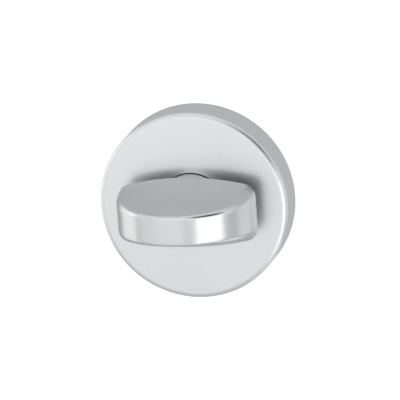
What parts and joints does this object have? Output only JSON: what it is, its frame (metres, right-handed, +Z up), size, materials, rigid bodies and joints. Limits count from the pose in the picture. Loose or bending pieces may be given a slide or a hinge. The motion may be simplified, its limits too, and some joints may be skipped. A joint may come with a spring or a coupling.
{
  "type": "bathroom thumb turn lock",
  "caption": "Half moon thumb turn on a round satin rose, with a square follower bar and bolt through lugs, turning a quarter turn to lock.",
  "frame": {"origin": "the turn's axis at the door's face, which is the back plane of the rose", "axes": "+Y into the door along the spindle, +Z up, +X to the right; the grip stands out towards -Y"},
  "size_m": [0.052, 0.0784, 0.052],
  "materials": {
    "satin_aluminium": "satin",
    "grip_aluminium": "polished satin",
    "spring_steel": "bright",
    "zinc_steel": "zinc plated",
    "bare_steel": "bright drawn",
    "bush_plastic": "moulded acetal",
    "carrier_plastic": "moulded glass filled nylon"
  },
  "bodies": {
    "rose": {"rose_cover": "satin_aluminium", "neck_bush": "bush_plastic", "bearing_carrier": "carrier_plastic", "detent_spring_upper": "spring_steel", "detent_spring_lower": "spring_steel", "retainer_plate": "zinc_steel", "base_plate": "zinc_steel", "snap_ring": "spring_steel", "fixing_screws": "zinc_steel", "screw_washers": "zinc_steel"},
    "turn": {"thumb_turn": "grip_aluminium", "wave_washer": "spring_steel", "stop_cam": "zinc_steel", "retaining_ring": "spring_steel", "spindle": "bare_steel", "spindle_pin": "spring_steel"}
  },
  "joints": [
    {"name": "knob_turn", "type": "hinge", "parent": "rose", "child": "turn", "pos_m": [0, 0, 0], "axis": [0, 1, 0], "range_deg": [0, 90], "deforming": ["detent_spring_upper", "detent_spring_lower"]}
  ]
}
